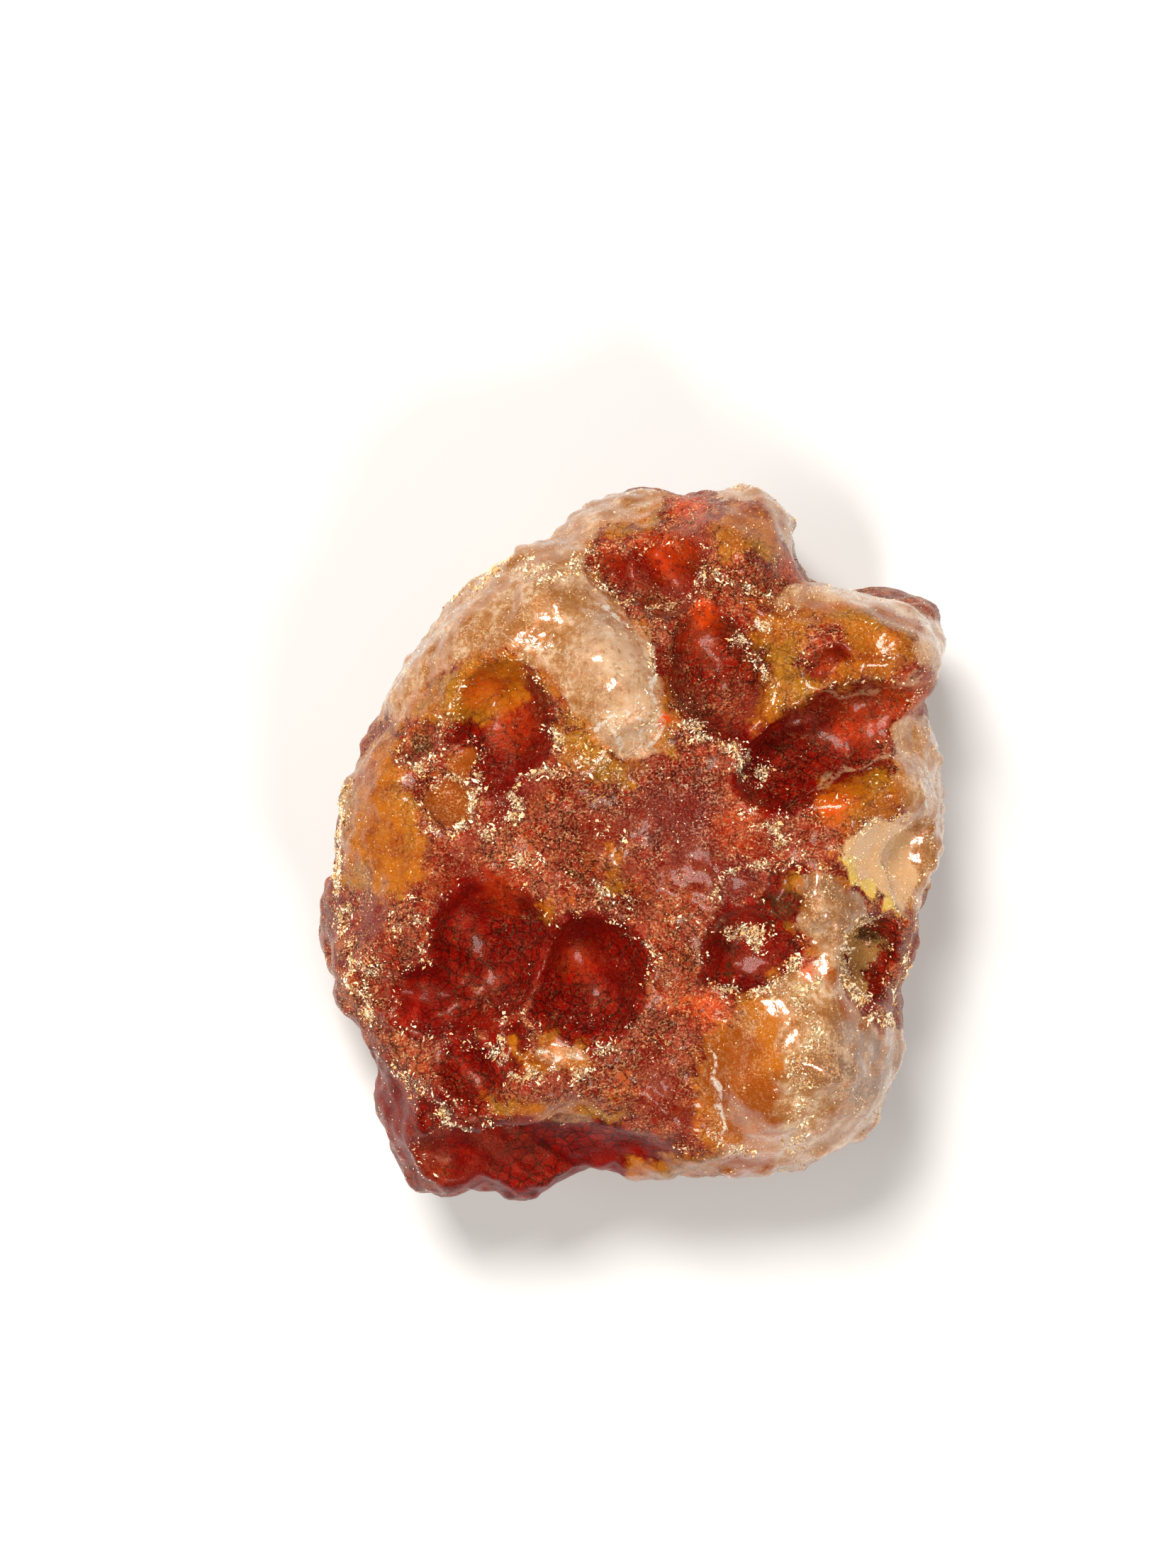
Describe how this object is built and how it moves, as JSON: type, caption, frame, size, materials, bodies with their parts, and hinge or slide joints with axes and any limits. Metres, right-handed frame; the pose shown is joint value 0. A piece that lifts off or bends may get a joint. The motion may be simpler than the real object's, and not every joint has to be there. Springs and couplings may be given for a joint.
{
  "type": "raw copal",
  "caption": "Rough, rounded lump of see-through amber-red copal resin, with eaten hollows and worn pale windows, lying on its flattened back.",
  "frame": {"origin": "on the worn flat at the lump's back, under the middle of its bounding box", "axes": "+Y along the lump's length, towards the end with the knob; +Z out of the weathered face, square to the worn flat; +X towards the side with the nose"},
  "size_m": [0.03, 0.0343, 0.0165],
  "materials": {
    "copal": "satin"
  },
  "bodies": {
    "root": {"copal": "copal"}
  },
  "joints": []
}
